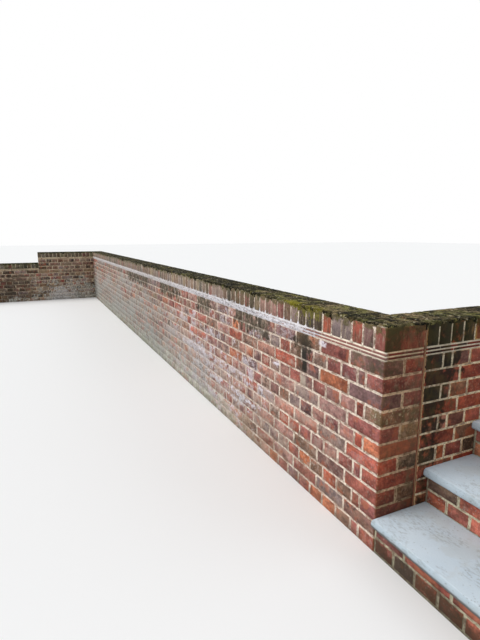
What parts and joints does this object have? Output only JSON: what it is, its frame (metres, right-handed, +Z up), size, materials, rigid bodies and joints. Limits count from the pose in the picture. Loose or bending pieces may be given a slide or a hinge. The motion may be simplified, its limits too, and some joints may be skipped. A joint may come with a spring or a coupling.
{
  "type": "brick garden wall",
  "caption": "Long low brick wall in English bond with tile creasing, brick-on-edge coping, a stepped far return, a near return across a straight joint, and stone-topped brick steps.",
  "frame": {"origin": "middle of the main wall's base, on its centre line at ground level", "axes": "+X along the main wall from the internal corner to the quoin and the steps, +Y from the fair face to the back, which is also the way the steps climb, +Z up"},
  "size_m": [10.34, 4.4825, 1.0165],
  "materials": {
    "brick": "rough red facing brick, orange-red to plum, with cream mortar joints",
    "coping_brick": "red-brown brick on edge, weathered, with moss and algae on top",
    "creasing_tile": "plain red clay tile, edge showing",
    "mortar": "sandy cream lime mortar",
    "joint_filler": "red-tan compressible filler, sanded face",
    "tread_stone": "pale grey stone, worn smooth, dark flecks",
    "step_backing": "brick and mortar backing of the steps"
  },
  "bodies": {
    "root": {"main_wall": "brick", "main_wall_creasing_mortar": "mortar", "main_wall_lower_tiles": "creasing_tile", "main_wall_upper_tiles": "creasing_tile", "main_wall_coping": "coping_brick", "back_wall_high": "brick", "back_wall_high_creasing_mortar": "mortar", "back_wall_high_lower_tiles": "creasing_tile", "back_wall_high_upper_tiles": "creasing_tile", "back_wall_high_coping": "coping_brick", "back_wall_low": "brick", "back_wall_low_creasing_mortar": "mortar", "back_wall_low_lower_tiles": "creasing_tile", "back_wall_low_upper_tiles": "creasing_tile", "back_wall_low_coping": "coping_brick", "return_wall": "brick", "return_wall_creasing_mortar": "mortar", "return_wall_lower_tiles": "creasing_tile", "return_wall_upper_tiles": "creasing_tile", "return_wall_coping": "coping_brick", "movement_joint": "joint_filler", "riser_1": "brick", "riser_2": "brick", "riser_3": "brick", "riser_4": "brick", "riser_5": "brick", "tread_1": "tread_stone", "tread_2": "tread_stone", "tread_3": "tread_stone", "tread_4": "tread_stone", "tread_5": "tread_stone", "step_fill_1": "step_backing", "step_fill_2": "step_backing", "step_fill_3": "step_backing", "step_fill_4": "step_backing", "step_fill_5": "step_backing"}
  },
  "joints": []
}
